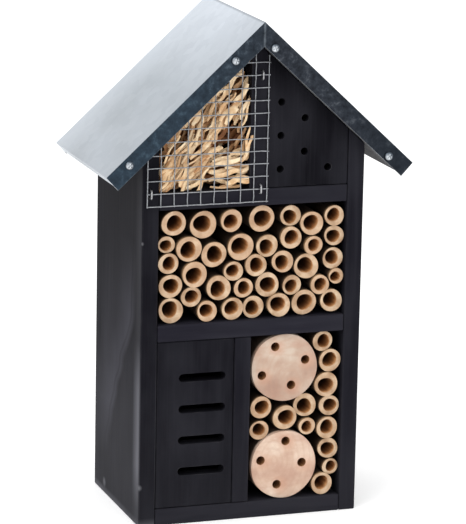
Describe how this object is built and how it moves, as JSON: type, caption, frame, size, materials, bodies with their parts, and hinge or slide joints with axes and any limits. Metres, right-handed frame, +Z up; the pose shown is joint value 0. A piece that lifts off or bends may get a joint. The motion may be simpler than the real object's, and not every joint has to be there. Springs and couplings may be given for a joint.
{
  "type": "insect hotel",
  "caption": "Gabled wooden insect house with a folded sheet roof, bamboo and drilled log nesting chambers, a slotted panel, a drilled panel and a mesh front.",
  "frame": {"origin": "centre of the bounding box on the plane that the hotel stands on", "axes": "+Z up, -Y out of the open front, +X to the right seen from the front"},
  "size_m": [0.187, 0.109, 0.3],
  "materials": {
    "black_stained_wood": "black stained softwood, satin, fine vertical grain",
    "galvanised_sheet": "galvanised, soft spangle",
    "zinc_wire": "dull zinc",
    "zinc_screw": "bright zinc",
    "bamboo": "sawn bamboo, pale ends",
    "pale_log": "sawn end grain, untreated",
    "wood_wool": "loose pale shavings"
  },
  "bodies": {
    "root": {"attic_divider": "black_stained_wood", "back_board": "black_stained_wood", "base_board": "black_stained_wood", "drilled_panel": "black_stained_wood", "log_section_lower": "pale_log", "log_section_upper": "pale_log", "lower_bamboo_pair_04": "bamboo", "lower_bamboo_pair_05": "bamboo", "lower_bamboo_pair_06": "bamboo", "lower_bamboo_pair_07": "bamboo", "lower_bamboo_pair_08": "bamboo", "lower_bamboo_tube_01": "bamboo", "lower_bamboo_tube_02": "bamboo", "lower_bamboo_tube_03": "bamboo", "lower_divider": "black_stained_wood", "mesh_staple_lower_left": "zinc_wire", "mesh_staple_lower_right": "zinc_wire", "mesh_staple_upper_right": "zinc_wire", "middle_bamboo_pair_12": "bamboo", "middle_bamboo_pair_13": "bamboo", "middle_bamboo_pair_14": "bamboo", "middle_bamboo_pair_15": "bamboo", "middle_bamboo_pair_16": "bamboo", "middle_bamboo_pair_17": "bamboo", "middle_bamboo_pair_18": "bamboo", "middle_bamboo_pair_19": "bamboo", "middle_bamboo_pair_20": "bamboo", "middle_bamboo_pair_21": "bamboo", "middle_bamboo_pair_22": "bamboo", "middle_bamboo_pair_23": "bamboo", "middle_bamboo_pair_24": "bamboo", "middle_bamboo_tube_01": "bamboo", "middle_bamboo_tube_02": "bamboo", "middle_bamboo_tube_03": "bamboo", "middle_bamboo_tube_04": "bamboo", "middle_bamboo_tube_05": "bamboo", "middle_bamboo_tube_06": "bamboo", "middle_bamboo_tube_07": "bamboo", "middle_bamboo_tube_08": "bamboo", "middle_bamboo_tube_09": "bamboo", "middle_bamboo_tube_10": "bamboo", "middle_bamboo_tube_11": "bamboo", "middle_shelf": "black_stained_wood", "roof_board_left": "black_stained_wood", "roof_board_right": "black_stained_wood", "roof_screw_front_left_lower": "zinc_screw", "roof_screw_front_left_upper": "zinc_screw", "roof_screw_front_right_lower": "zinc_screw", "roof_screw_front_right_upper": "zinc_screw", "roof_screw_rear_left_lower": "zinc_screw", "roof_screw_rear_left_upper": "zinc_screw", "roof_screw_rear_right_lower": "zinc_screw", "roof_screw_rear_right_upper": "zinc_screw", "roof_sheet": "galvanised_sheet", "side_board_left": "black_stained_wood", "side_board_right": "black_stained_wood", "slot_panel": "black_stained_wood", "upper_shelf": "black_stained_wood", "wire_mesh": "zinc_wire", "wood_wool_filling": "wood_wool"}
  },
  "joints": []
}
